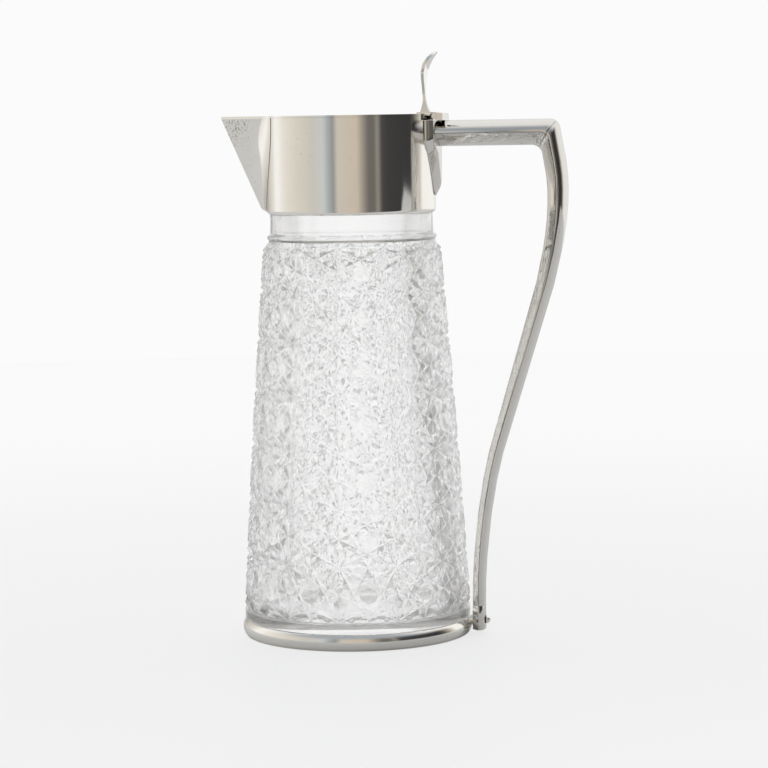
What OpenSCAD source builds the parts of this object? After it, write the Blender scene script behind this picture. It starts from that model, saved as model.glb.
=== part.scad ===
// Claret jug: a tapering cut-glass body held in silver mounts, with a flat hinged lid, a V-shaped
// spout and a hollow handle. The origin is on the glass's axis at table level. +Z is up, +X points
// to the handle, and -X to the spout.

/* [Foot ring] */
// How far the foot ring swells out past the plain band
ring_lap = 1.1; // [0.8:0.1:3]
// Height of the foot ring
ring_h = 8; // [7:0.1:10]
// Radius of the foot ring's swelling side, in section
ring_bulge_r = 5.8; // [5:0.1:8]
// Thickness of the ledge under the glass
ledge_t = 1.2; // [0.8:0.1:1.6]
// Width of the ledge under the glass
ledge_w = 5.6; // [3:0.1:8]

/* [Glass] */
// Radius at the bottom of the cut field
cut_foot_r = 56.3; // [52:0.1:62]
// Step in from the cut field to the plain band below it
band_step = 0.3; // [0:0.1:0.8]
// Step in from the plain band to the part inside the foot ring
seat_step = 2; // [1.8:0.1:3]
// Height of the plain band
band_h = 5.5; // [4:0.1:8]
// Step out from the plain neck to the top of the cut field
cut_top_step = 3.6; // [2.4:0.1:6]
// Height of the cut field
cut_h = 179; // [150:1:190]
// Outward swell of the side, halfway up
body_swell = 0.6; // [0:0.1:1.2]
// Depth of the level mitre cuts
mitre_d = 0.9; // [0.3:0.1:1.5]
// Height of the sloping shoulder above the cut field
shoulder_h = 2.4; // [1.5:0.1:4]
// Step out from the plain neck to the bead round it
bead_step = 1.6; // [1:0.1:2.3]
// Height of the bead round the neck
bead_h = 3.4; // [2:0.1:5]
// Radius of the plain neck
neck_r = 40.2; // [36:0.1:44]
// Height of plain neck that shows between the bead and the collar
neck_show = 9.7; // [6:0.1:14]
// Height of neck inside the collar
neck_lap = 8; // [6:0.1:10]
// Thickness of the body's wall
glass_wall = 5.5; // [4.5:0.1:7]
// Thickness of the neck's wall
neck_wall = 3.8; // [3:0.1:5]
// Thickness of the glass floor
glass_floor = 11.7; // [8:0.1:16]
// Size of the slope between the floor and the wall, inside
floor_bend = 4; // [2:0.1:8]

/* [Collar] */
// Room for cement between the neck and the collar
neck_cement_t = 0.5; // [0.3:0.1:1]
// Height of the collar
collar_h = 46.9; // [44:0.1:55]
// Thickness of the collar's sheet
collar_wall = 1; // [0.8:0.1:1.1]
// Rounding of the turned-in lower edge
collar_bend_r = 2; // [1.2:0.1:2.4]

/* [Spout] */
// Distance from the collar to the spout's tip
spout_out = 22.7; // [18:0.1:28]
// Distance from the collar to the lower end of the keel
keel_foot_out = 3.8; // [2.8:0.1:6]
// Height of the spout
spout_h = 46; // [40:0.1:46.5]
// Half-angle of the V, seen from above
spout_half_angle = 34; // [30:0.5:36]
// Half-angle round the collar that the spout covers at its top
spout_grip_top = 32.3; // [30:0.1:34]
// Half-angle round the collar that the spout covers at its foot
spout_grip_foot = 13; // [11:0.5:15]
// Thickness of the spout's sheet
spout_wall = 1; // [0.8:0.1:1.2]

/* [Lid] */
// Thickness of the lid plate
lid_t = 1; // [0.8:0.1:1.6]
// Depth of the bezel under the lid
bezel_h = 2.4; // [1.5:0.1:4]
// Thickness of the bezel
bezel_wall = 0.8; // [0.6:0.1:1.2]

/* [Hinge] */
// Length of the hinge, across the jug
hinge_l = 24; // [20:0.5:26]
// Length of the middle knuckle
knuckle_l = 7.8; // [6:0.1:9]
// Radius of the knuckles
knuckle_r = 1.65; // [1.4:0.05:1.8]
// Radius of the hinge pin
pin_r = 0.8; // [0.6:0.05:0.9]
// Thickness of the leaf on the lid
leaf_t = 0.7; // [0.5:0.1:1]
// Reach of the lid's leaf in from the pin
leaf_reach = 8.9; // [8.6:0.1:14]
// Reach of the fixed leaf out from the pin
fixed_reach = 3.7; // [3:0.1:5]

/* [Thumbpiece] */
// Height of the thumbpiece above its leaf
thumb_h = 29.2; // [24:0.1:34]
// Half-width of the blade at its widest
thumb_half_w = 8; // [6:0.1:9]
// Thickness of the blade
thumb_t = 1.2; // [1:0.1:1.6]
// Depth of the blade's dish
thumb_dish = 1.4; // [0.5:0.1:2]

/* [Handle] */
// Drop from the collar's rim to the top of the bar
bar_drop = 2.1; // [1.8:0.1:2.3]
// Height of the bar
bar_h = 12.6; // [11:0.1:14]
// Half-width of the handle at the bar
bar_half_w = 12.4; // [11:0.1:13.5]
// Half-width of the flat under the bar
bar_flat_half_w = 4.5; // [3.5:0.1:6]
// Distance from the axis to the middle of the grip at its top
grip_reach = 100.9; // [92:0.1:106]
// Drop from the bar's underside to the top of the grip's curve
corner_drop = 8.2; // [7.5:0.1:10]
// Outward lean of the grip at its top
corner_lean = 10; // [6:0.5:12]
// Rounding of the outer corner
corner_out_r = 5; // [3:0.1:6]
// Rounding of the inner corner
corner_in_r = 5.4; // [4:0.1:6.5]
// Thickness of the grip at its top
grip_t = 10.7; // [9.5:0.1:11.5]
// Thickness of the grip at its foot
foot_t = 6.2; // [5.6:0.1:7]
// Half-width of the grip at its foot
foot_half_w = 6.8; // [6:0.1:8]
// Half-width of the flat inside the grip at its foot
foot_flat_half_w = 3.6; // [3:0.1:4.2]
// Lean of the grip where its two curves meet
grip_mid_lean = 15.3; // [12:0.1:18]
// Thickness of the handle's sheet
handle_wall = 0.9; // [0.7:0.1:1.1]

/* [Handle seat on the collar] */
// Thickness of the drop on the collar
drop_t = 3.3; // [2.6:0.1:3.6]
// Half-width of the drop
drop_half_w = 15; // [14:0.1:17]
// Height of the drop
drop_h = 36.5; // [32:0.1:40]
// Height of the drop's straight sides
drop_side_h = 9.3; // [6:0.1:13]
// Rounding of the drop's tip
drop_tip_r = 4; // [3:0.1:5]

/* [Handle foot] */
// Height of the foot block
block_h = 12; // [10.5:0.1:14]
// Gap from the table to the foot block
block_lift = 1.9; // [1:0.1:2.5]
// Gap from the foot ring to the foot block
block_gap = 0.95; // [0.8:0.05:1.5]
// Height of the screw above the table
screw_z = 6.3; // [5.8:0.1:6.4]
// Radius of the screw's shank
screw_r = 1; // [0.8:0.05:1.2]
// Radius of the screw's domed head
screw_head_r = 1.9; // [1.6:0.05:2.1]
// Height of the screw's domed head
screw_head_h = 1.9; // [1.4:0.05:1.9]
// Thickness of the washer
washer_t = 0.6; // [0.4:0.05:0.8]
// Radius of the lug on the foot ring
lug_r = 2.6; // [2.2:0.05:2.8]

/* [Fits] */
// Gap at a soldered or seated face
seat_gap = 0.05; // [0.03:0.01:0.08]
// Gap under the lid
lid_gap = 0.1; // [0.1:0.05:0.2]
// Side gap round the lid's bezel
bezel_gap = 0.5; // [0.4:0.05:0.8]
// Gap between the collar and the hinge's knuckles
hinge_gap = 0.35; // [0.3:0.05:0.5]
// End gap between knuckles
knuckle_gap = 0.2; // [0.15:0.05:0.4]
// Running gap round the hinge pin
pin_gap = 0.04; // [0.02:0.01:0.06]
// Gap round the screw in the foot block
screw_gap = 0.12; // [0.08:0.01:0.2]

/* [Hidden] */
$fn = 96;

silver = [0.80, 0.79, 0.76];
bright_silver = [0.88, 0.87, 0.84];
dull_silver = [0.62, 0.61, 0.58];
clear_glass = [0.86, 0.90, 0.92, 0.5];
cement_white = [0.92, 0.90, 0.84];

// Radii, from the foot of the body and from its neck
band_r = cut_foot_r - band_step;
seat_r = band_r - seat_step;
ring_r = band_r + ring_lap;
cut_top_r = neck_r + cut_top_step;
bead_r = neck_r + bead_step;
neck_in_r = neck_r - neck_wall;
collar_in_r = neck_r + neck_cement_t;
collar_r = collar_in_r + collar_wall;
collar_lip_r = neck_r + 3 * seat_gap;
collar_lip_t = 1.2;
spout_reach = collar_r + spout_out;
keel_foot_x = collar_r + keel_foot_out;

// Heights, from the table up
glass_z = ledge_t + 2 * seat_gap;
band_z = ring_h + 2 * seat_gap;
cut_foot_z = band_z + band_h;
cut_top_z = cut_foot_z + cut_h;
bead_z = cut_top_z + shoulder_h;
neck_z = bead_z + bead_h;
collar_z = neck_z + neck_show;
neck_top_z = collar_z + neck_lap;
rim_z = collar_z + collar_h;
lid_z = rim_z + lid_gap;
lid_top_z = lid_z + lid_t;
bar_top_z = rim_z - bar_drop;
bar_under_z = bar_top_z - bar_h;

// The cutting: the rows of stars draw together up the body, as its girth shrinks
rows = 7;
row_lift = 0.034;
function body_r(z) = let (s = (z - cut_foot_z) / cut_h)
    cut_foot_r + (cut_top_r - cut_foot_r) * s + 4 * body_swell * s * (1 - s);
row_zs = [for (k = [1:rows - 1]) let (u = k / rows)
    cut_foot_z + cut_h * (u + row_lift * sin(180 * pow(u, 1.5)))];

// Body's inside
floor_z = glass_z + glass_floor;

// Hinge
pin_x = collar_r + hinge_gap + knuckle_r;
pin_z = rim_z + seat_gap;
leaf_top_z = lid_top_z + seat_gap + leaf_t;
leaf_x = pin_x - leaf_reach;
knuckle_clear = max(knuckle_r, leaf_top_z - pin_z) + knuckle_gap;

// Handle: a station holds the inner edge, the outer edge, the half-width and the inner flat's half-width
drop_r = collar_r + seat_gap + drop_t;
bar_root_r = drop_r + seat_gap;
foot_x = ring_r + block_gap + foot_t / 2;
block_top_z = block_lift + block_h;
grip_foot_z = block_top_z + seat_gap;
grip_top = [grip_reach, bar_under_z - corner_drop];
grip_foot = [foot_x, grip_foot_z];
grip_mid = [foot_x + 0.233 * (grip_reach - foot_x),
            grip_foot_z + 0.349 * (grip_top[1] - grip_foot_z)];
grip_out = [cos(corner_lean), sin(corner_lean)];
corner_turn = 90 - corner_lean;
shoulder_pull = 0.182 * (grip_top[1] - grip_foot_z);
mid_pull_up = 0.238 * (grip_top[1] - grip_foot_z);
mid_pull_down = 0.064 * (grip_top[1] - grip_foot_z);
foot_pull = 0.151 * (grip_top[1] - grip_foot_z);
mitre_half = 0.004;
grip_top_curve = [grip_top, grip_top + shoulder_pull * [sin(corner_lean), -cos(corner_lean)],
                  grip_mid + mid_pull_up * [sin(grip_mid_lean), cos(grip_mid_lean)], grip_mid];
grip_foot_curve = [grip_mid, grip_mid - mid_pull_down * [sin(grip_mid_lean), cos(grip_mid_lean)],
                   grip_foot + [0, foot_pull], grip_foot];

// Foot fittings
lug_x = band_r + 5 * seat_gap;
block_in_x = foot_x - foot_t / 2;
block_out_x = foot_x + foot_t / 2;
lug_l = block_in_x - seat_gap - lug_x;

// A closed skin from two grids of points: rows along the piece, and points across it
function join(lists) = [for (a = lists) for (b = a) b];
function quad(a, b, c, d) = [[a, b, c], [a, c, d]];
function skin_faces(n, m) =
    let (k = 2 * (m + 1), half = m + 1)
    join(concat(
        [for (i = [0:n - 1], j = [0:m - 1])
            quad(i * k + j, i * k + j + 1, (i + 1) * k + j + 1, (i + 1) * k + j)],
        [for (i = [0:n - 1], j = [0:m - 1])
            quad(i * k + half + j + 1, i * k + half + j,
                 (i + 1) * k + half + j, (i + 1) * k + half + j + 1)],
        [for (i = [0:n - 1]) quad(i * k, (i + 1) * k, (i + 1) * k + half, i * k + half)],
        [for (i = [0:n - 1]) quad(i * k + half + m, (i + 1) * k + half + m, (i + 1) * k + m, i * k + m)],
        [for (j = [0:m - 1]) quad(j + 1, j, half + j, half + j + 1)],
        [for (j = [0:m - 1]) quad(n * k + half + j + 1, n * k + half + j, n * k + j, n * k + j + 1)]));

module skin(outer, inner) {
    n = len(outer) - 1;
    m = len(outer[0]) - 1;
    polyhedron(points = join([for (i = [0:n]) concat(outer[i], inner[i])]), faces = skin_faces(n, m));
}

function bezier(p, t) = pow(1 - t, 3) * p[0] + 3 * pow(1 - t, 2) * t * p[1]
    + 3 * (1 - t) * t * t * p[2] + pow(t, 3) * p[3];
function bezier_dir(p, t) =
    let (d = pow(1 - t, 2) * (p[1] - p[0]) + 2 * (1 - t) * t * (p[2] - p[1]) + t * t * (p[3] - p[2]))
    d / norm(d);

// ---------------------------------------------------------------- foot

module ring_section() {
    bulge_x = ring_r - ring_bulge_r;
    wall_x = seat_r + 12 * seat_gap;
    intersection() {
        translate([bulge_x, ring_h / 2]) circle(r = ring_bulge_r);
        translate([wall_x, 0]) square([ring_r - wall_x + 1, ring_h]);
    }
    translate([seat_r - ledge_w, 0]) square([wall_x - seat_r + ledge_w + 0.4, ledge_t]);
}

module foot_ring() {
    color(bright_silver) difference() {
        rotate_extrude() ring_section();
        translate([lug_x - seat_gap, 0, screw_z]) rotate([0, 90, 0])
            cylinder(r = lug_r + seat_gap, h = ring_r - lug_x + 1);
    }
}

module foot_ring_lug() {
    color(dull_silver) translate([lug_x, 0, screw_z]) rotate([0, 90, 0]) difference() {
        cylinder(r = lug_r, h = lug_l);
        translate([0, 0, -1]) cylinder(r = screw_r + pin_gap, h = lug_l + 2);
    }
}

module foot_cement() {
    color(cement_white) translate([0, 0, ledge_t + seat_gap]) difference() {
        cylinder(r = seat_r + 11 * seat_gap, h = ring_h - ledge_t - 2 * seat_gap);
        translate([0, 0, -1]) cylinder(r = seat_r + seat_gap, h = ring_h);
    }
}

// ---------------------------------------------------------------- glass

// Outline of the cut field, with a level mitre cut at each row of stars
function cut_outline() = join([
    [[cut_foot_r, cut_foot_z]],
    join([for (z = row_zs) [[body_r(z - mitre_d), z - mitre_d], [body_r(z) - mitre_d, z],
                            [body_r(z + mitre_d), z + mitre_d]]]),
    [[cut_top_r, cut_top_z]]]);

module glass_section() {
    neck_skirt_z = bead_z - glass_wall;
    bend_z = floor_z + floor_bend;
    difference() {
        union() {
            polygon(concat([[0, glass_z], [seat_r, glass_z], [seat_r, band_z], [band_r, band_z]],
                           cut_outline(),
                           [[neck_r + 0.8, bead_z], [neck_r, bead_z + 0.1], [neck_r, neck_top_z - 1],
                            [neck_r - 1, neck_top_z], [0, neck_top_z]]));
            intersection() {
                translate([bead_r - bead_h / 2, bead_z + bead_h / 2]) circle(d = bead_h);
                translate([neck_in_r + 1, bead_z]) square([bead_r, bead_h]);
            }
        }
        polygon([[-1, floor_z], [body_r(floor_z) - glass_wall - floor_bend, floor_z],
                 [body_r(bend_z) - glass_wall, bend_z],
                 [body_r((floor_z + neck_skirt_z) / 2) - glass_wall, (floor_z + neck_skirt_z) / 2],
                 [body_r(neck_skirt_z) - glass_wall, neck_skirt_z], [neck_in_r, bead_z + 4],
                 [neck_in_r, neck_top_z + 1], [-1, neck_top_z + 1]]);
    }
}

module glass_body() {
    color(clear_glass) rotate_extrude() glass_section();
}

module neck_cement() {
    color(cement_white) translate([0, 0, collar_z + collar_lip_t + seat_gap]) difference() {
        cylinder(r = collar_in_r - seat_gap, h = neck_lap - collar_lip_t - 1 - seat_gap);
        translate([0, 0, -1]) cylinder(r = neck_r + seat_gap, h = neck_lap + 2);
    }
}

// ---------------------------------------------------------------- collar and spout

module collar_section() {
    difference() {
        union() {
            translate([collar_r - collar_bend_r, collar_z + collar_bend_r]) circle(r = collar_bend_r);
            translate([collar_lip_r, collar_z])
                square([collar_r - collar_bend_r - collar_lip_r, collar_bend_r]);
            translate([collar_in_r, collar_z + collar_bend_r])
                square([collar_wall, collar_h - collar_bend_r]);
        }
        translate([0, collar_z - 1]) square([collar_lip_r, collar_h]);
        translate([0, collar_z + collar_lip_t]) square([collar_in_r, collar_h]);
    }
}

// Height of the channel's floor above the spout's foot, and the width of the edge that is soldered on
spout_floor_h = 6;
spout_seam = 3.5;
spout_mouth_margin = 3;
keel_clear = 0.8 * spout_wall;
keel_in_clear = 0.7 * spout_wall;
spout_back_r = collar_r + seat_gap + 0.03;

module collar() {
    mouth_z = rim_z - spout_h + spout_floor_h + spout_wall;
    mouth_top = (collar_r * sin(spout_grip_top - spout_seam)) - spout_mouth_margin;
    mouth_foot = (collar_r * sin(spout_grip(mouth_z) - spout_seam)) - spout_mouth_margin;
    color(silver) difference() {
        rotate_extrude() collar_section();
        translate([-collar_in_r + 14, 0, 0]) rotate([90, 0, -90])
            linear_extrude(height = collar_r)
                polygon([[-mouth_foot, mouth_z], [mouth_foot, mouth_z],
                         [mouth_top, rim_z + 1], [-mouth_top, rim_z + 1]]);
    }
}

// Half-angle that the spout covers at a height, and the keel's distance from the axis there
function spout_share(z) = (z - (rim_z - spout_h)) / spout_h;
function spout_grip(z) = min(
    spout_grip_foot + (spout_grip_top - spout_grip_foot) * sin(90 * spout_share(z)),
    0.75 * acos(spout_back_r / keel_x(z)));
keel_foot_share = 0.06;
function keel_x(z) = let (s = spout_share(z))
    s < keel_foot_share
        ? collar_r + keel_clear + (keel_foot_out - keel_clear) * sin(90 * s / keel_foot_share)
        : keel_foot_x + (spout_reach - keel_foot_x) * (s - keel_foot_share) / (1 - keel_foot_share);

// One side of a section of the spout: straight from the apex, then a bend that runs into the collar
function spout_side(x, half_angle, grip, r) =
    let (apex = [-x, 0], along = [cos(half_angle), sin(half_angle)],
         seam = r * [-cos(grip), sin(grip)], tangent = [sin(grip), cos(grip)],
         cross = along[0] * tangent[1] - along[1] * tangent[0],
         gap = seam - apex,
         run = max((gap[0] * tangent[1] - gap[1] * tangent[0]) / cross, keel_clear / 4),
         back = max((gap[1] * along[0] - gap[0] * along[1]) / cross, keel_clear / 4),
         corner = apex + run * along,
         start = apex + max(run - back, 0.3 * run) * along)
    concat([apex, (apex + start) / 2],
           [for (k = [0:8]) let (t = k / 8) pow(1 - t, 2) * start + 2 * (1 - t) * t * corner + t * t * seam]);

function spout_section(x, half_angle, grip, r, z) =
    let (side = spout_side(x, half_angle, grip, r), n = len(side))
    concat([for (k = [n - 1:-1:1]) [side[k][0], -side[k][1], z]], [for (p = side) [p[0], p[1], z]]);

function collar_arc(grip, r, z, n) = [for (k = [0:n]) let (a = grip * (1 - 2 * k / n))
    [-r * cos(a), -r * sin(a), z]];

spout_levels = concat([0, 0.02, 0.04], [for (k = [0:9]) keel_foot_share + (1 - keel_foot_share) * k / 9]);

module spout() {
    floor_share = spout_floor_h / spout_h;
    zs = [for (s = spout_levels) rim_z - spout_h + s * spout_h];
    outer = [for (z = zs) spout_section(keel_x(z), spout_half_angle, spout_grip(z), spout_back_r, z)];
    width = len(outer[0]) - 1;
    inner = [for (k = [0:len(zs) - 1]) let (z = zs[k], grip = spout_grip(z) - spout_seam)
        spout_levels[k] < floor_share
            ? collar_arc(grip, spout_back_r, z, width)
            : spout_section(max(keel_x(z) - spout_wall / sin(spout_half_angle), collar_r + keel_in_clear),
                            spout_half_angle, grip, spout_back_r, z)];
    color(silver) skin(outer, inner);
}

// ---------------------------------------------------------------- lid and hinge

module lid() {
    beak = spout_section(spout_reach, spout_half_angle, spout_grip_top, collar_r - seat_gap, 0);
    color(silver) translate([0, 0, lid_z]) {
        cylinder(r = collar_r, h = lid_t);
        linear_extrude(height = lid_t) polygon(concat([[0, 0]], [for (p = beak) [p[0], p[1]]]));
    }
}

module lid_bezel() {
    color(dull_silver) translate([0, 0, lid_z - seat_gap - bezel_h]) difference() {
        cylinder(r = collar_in_r - bezel_gap, h = bezel_h);
        translate([0, 0, -1]) cylinder(r = collar_in_r - bezel_gap - bezel_wall, h = bezel_h + 2);
    }
}

module across(x, z, r, l) {
    translate([x, -l / 2, z]) rotate([-90, 0, 0]) cylinder(r = r, h = l);
}

module hinge_lid_leaf() {
    leaf_z = lid_top_z + seat_gap;
    color(bright_silver) difference() {
        union() {
            translate([leaf_x, -hinge_l / 2, leaf_z])
                cube([leaf_reach - knuckle_r - hinge_gap, hinge_l, leaf_t]);
            translate([leaf_x, -knuckle_l / 2, leaf_z]) cube([leaf_reach, knuckle_l, leaf_t]);
            across(pin_x, pin_z, knuckle_r, knuckle_l);
        }
        across(pin_x, pin_z, pin_r + pin_gap, hinge_l);
    }
}

module hinge_fixed_leaf() {
    seat_z = bar_top_z + seat_gap;
    top_z = pin_z + knuckle_r - 0.3;
    gap_l = knuckle_l + 2 * knuckle_gap;
    color(bright_silver) difference() {
        union() {
            translate([pin_x, -hinge_l / 2, seat_z]) cube([fixed_reach - 0.8, hinge_l, top_z - seat_z]);
            translate([pin_x, -hinge_l / 2, seat_z]) cube([fixed_reach, hinge_l, top_z - seat_z - 0.8]);
            across(pin_x + fixed_reach - 0.8, top_z - 0.8, 0.8, hinge_l);
            across(pin_x, pin_z, knuckle_r, hinge_l);
        }
        translate([pin_x - knuckle_clear - 1, -gap_l / 2, seat_z - 1])
            cube([2 * knuckle_clear + 1, gap_l, top_z - seat_z + 2]);
        across(pin_x, pin_z, pin_r + pin_gap, hinge_l + 2);
    }
}

module hinge_pin() {
    color(dull_silver) across(pin_x, pin_z, pin_r, hinge_l + 0.6);
}

// The thumbpiece's spine from its foot up: in from the pin, height share, thickness, half-width share,
// and dish share
thumb_spine = [
    [-6.1, 0.00, 4.6, 0.40, 0],
    [-6.3, 0.06, 3.2, 0.36, 0],
    [-6.4, 0.14, 1.9, 0.28, 0],
    [-6.5, 0.22, 1.2, 0.22, 0],
    [-6.7, 0.31, 1.0, 0.26, 0.1],
    [-6.7, 0.42, 1.0, 0.42, 0.3],
    [-6.7, 0.54, 1.0, 0.68, 0.6],
    [-6.4, 0.66, 1.0, 0.92, 0.9],
    [-5.4, 0.78, 1.0, 1.00, 1.0],
    [-3.6, 0.89, 1.0, 0.84, 0.8],
    [-1.7, 0.96, 0.9, 0.55, 0.4],
    [-0.4, 1.00, 0.8, 0.24, 0.1]];

module thumbpiece() {
    n = len(thumb_spine) - 1;
    across_n = 8;
    base_z = leaf_top_z + seat_gap;
    pts = [for (p = thumb_spine) [pin_x + p[0], base_z + thumb_h * p[1]]];
    dirs = [for (i = [0:n]) let (d = pts[min(i + 1, n)] - pts[max(i - 1, 0)]) i < 3 ? [0, 1] : d / norm(d)];
    grid = function (side) [for (i = [0:n]) [for (j = [0:across_n])
        let (p = thumb_spine[i], v = 2 * j / across_n - 1, y = v * p[3] * thumb_half_w,
             back = side * p[2] * (p[2] > 1.1 ? 1 : thumb_t) / 2 - p[4] * thumb_dish * (1 - v * v),
             normal = [dirs[i][1], -dirs[i][0]])
        [pts[i][0] + back * normal[0], y, pts[i][1] + back * normal[1]]]];
    color(bright_silver) skin(grid(1), grid(-1));
}

// ---------------------------------------------------------------- handle

module drop_section() {
    top_z = bar_top_z - seat_gap;
    foot_z = top_z - drop_h;
    translate([drop_r - drop_t, foot_z + drop_t]) square([drop_t, drop_h - drop_t]);
    intersection() {
        translate([drop_r - drop_t, foot_z + drop_t]) circle(r = drop_t);
        translate([drop_r - drop_t, foot_z]) square([drop_t, drop_t]);
    }
}

module drop_outline() {
    top_z = bar_top_z - seat_gap;
    tip = [0, top_z - drop_h + drop_tip_r];
    side = [drop_half_w, top_z - drop_side_h];
    reach = side - tip;
    a = atan2(reach[1], reach[0]) - acos(drop_tip_r / norm(reach));
    touch = tip + drop_tip_r * [cos(a), sin(a)];
    translate(tip) circle(r = drop_tip_r);
    polygon([[-drop_half_w, top_z + 1], [-side[0], side[1]], [-touch[0], touch[1]], touch, side,
             [drop_half_w, top_z + 1]]);
}

module handle_drop() {
    color(silver) intersection() {
        rotate_extrude() drop_section();
        rotate([90, 0, 90]) linear_extrude(height = drop_r + 5) drop_outline();
    }
}

// Rounded corner of an edge that runs out along +X and then down at the corner's lean
function corner_point(start, level, r, f) =
    let (vertex_x = start[0] - (level - start[1]) * tan(corner_lean), a = corner_turn * f)
    [vertex_x - r * tan(corner_turn / 2), level - r] + r * [sin(a), cos(a)];

function corner_station(f) =
    [corner_point(grip_top - grip_t / 2 * grip_out, bar_under_z, corner_in_r, f),
     corner_point(grip_top + grip_t / 2 * grip_out, bar_top_z, corner_out_r, f),
     bar_half_w, bar_flat_half_w];

function grip_station(curve, t) =
    let (c = bezier(curve, t), d = bezier_dir(curve, t), out = [-d[1], d[0]],
         s = (c[1] - grip_foot_z) / (grip_top[1] - grip_foot_z),
         half = (foot_t + (grip_t - foot_t) * s * s) / 2)
    [c - half * out, c + half * out, foot_half_w + (bar_half_w - foot_half_w) * pow(s, 1.6),
     foot_flat_half_w + (bar_flat_half_w - foot_flat_half_w) * s];

bar_stations = concat(
    [[[bar_root_r, bar_under_z], [bar_root_r, bar_top_z], bar_half_w, bar_flat_half_w]],
    [for (f = [0, 0.1, 0.2, 0.3, 0.4, 0.5 - mitre_half]) corner_station(f)]);
grip_stations = concat(
    [for (f = [0.5 + mitre_half, 0.6, 0.7, 0.8, 0.9]) corner_station(f)],
    [for (k = [0:18]) grip_station(grip_top_curve, k / 18)],
    [for (k = [1:8]) grip_station(grip_foot_curve, k / 8)]);

// A point of a station's section: out is measured from the middle, and y across
function section_point(s, out, y) =
    let (mid = (s[0] + s[1]) / 2, u = (s[1] - s[0]) / norm(s[1] - s[0]), p = mid + out * u)
    [p[0], y, p[1]];

// The bar's root follows the round of the drop
function rooted(points) = [for (p = points) [sqrt(bar_root_r * bar_root_r - p[1] * p[1]), p[1], p[2]]];

seam_half = seat_gap;
arch_n = 16;
function arch(s, inset) = [for (k = [0:arch_n])
    let (a = 180 * k / arch_n, half_t = norm(s[1] - s[0]) / 2)
    section_point(s, max(seam_half, (half_t - inset) * sin(a)), (s[2] - inset * 1.2) * cos(a))];
function channel(s, inset) =
    let (half_t = norm(s[1] - s[0]) / 2 - inset, w = s[2] - inset * 1.8, f = s[3] - inset * 0.4,
         side = [[-seam_half, w], [-half_t, f] + 0.28 * [half_t, w - f], [-half_t, f], [-half_t, f * 0.6]],
         bend = [for (k = [0:4]) let (t = k / 4)
             pow(1 - t, 2) * side[1] + 2 * (1 - t) * t * side[2] + t * t * side[3]],
         half = concat([side[0]], bend))
    concat([for (q = half) section_point(s, q[0], -q[1])],
           [for (k = [5:-1:0]) section_point(s, half[k][0], half[k][1])]);

module bar_shell(profile) {
    outer = [for (s = bar_stations) profile(s, 0)];
    inner = [for (s = bar_stations) profile(s, handle_wall)];
    last = len(bar_stations) - 1;
    color(silver) skin(concat([rooted(outer[0])], [for (i = [1:last]) outer[i]]),
                       concat([rooted(inner[0])], [for (i = [1:last]) inner[i]]));
}

module grip_shell(profile) {
    color(silver) skin([for (s = grip_stations) profile(s, 0)],
                       [for (s = grip_stations) profile(s, handle_wall)]);
}

module handle_bar_top_shell() { bar_shell(function (s, inset) arch(s, inset)); }
module handle_bar_under_shell() { bar_shell(function (s, inset) channel(s, inset)); }
module handle_grip_outer_shell() { grip_shell(function (s, inset) arch(s, inset)); }
module handle_grip_inner_shell() { grip_shell(function (s, inset) channel(s, inset)); }

// ---------------------------------------------------------------- foot fittings

module block_outline() {
    half = foot_t / 2;
    translate([foot_x, 0]) polygon(concat(
        [[-half, -foot_flat_half_w], [0, -foot_half_w]],
        [for (k = [1:11]) let (a = 180 * k / 12) [half * sin(a), -foot_half_w * cos(a)]],
        [[0, foot_half_w], [-half, foot_flat_half_w]]));
}

module handle_foot_block() {
    flat_half = screw_head_r + 0.5;
    color(silver) difference() {
        translate([0, 0, block_lift]) linear_extrude(height = block_h) block_outline();
        translate([block_in_x - 1, 0, screw_z]) rotate([0, 90, 0])
            cylinder(r = screw_r + screw_gap, h = foot_t + 2);
        translate([block_out_x - 0.4, 0, screw_z]) rotate([0, 90, 0]) cylinder(r = flat_half, h = 2);
    }
}

washer_x = block_out_x - 0.4 + seat_gap;
head_x = washer_x + washer_t + seat_gap;

module foot_washer() {
    color(dull_silver) translate([washer_x, 0, screw_z]) rotate([0, 90, 0]) difference() {
        cylinder(r = screw_head_r, h = washer_t);
        translate([0, 0, -1]) cylinder(r = screw_r + screw_gap, h = washer_t + 2);
    }
}

module foot_screw() {
    dome_r = (screw_head_r * screw_head_r + screw_head_h * screw_head_h) / (2 * screw_head_h);
    color(bright_silver) translate([0, 0, screw_z]) rotate([0, 90, 0]) {
        translate([0, 0, lug_x + seat_gap]) cylinder(r = screw_r, h = head_x - lug_x);
        intersection() {
            translate([0, 0, head_x + screw_head_h - dome_r]) sphere(r = dome_r);
            translate([0, 0, head_x]) cylinder(r = screw_head_r + 1, h = screw_head_h + 1);
        }
    }
}

foot_ring();
foot_ring_lug();
foot_cement();
glass_body();
neck_cement();
collar();
spout();
lid();
lid_bezel();
hinge_lid_leaf();
hinge_fixed_leaf();
hinge_pin();
thumbpiece();
handle_drop();
handle_bar_top_shell();
handle_bar_under_shell();
handle_grip_outer_shell();
handle_grip_inner_shell();
handle_foot_block();
foot_screw();
foot_washer();
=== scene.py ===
"""A claret jug: a tapering cut-glass body in silver mounts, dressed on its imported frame."""

import math

import bmesh
import bpy
from mathutils import Matrix, Vector


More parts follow.
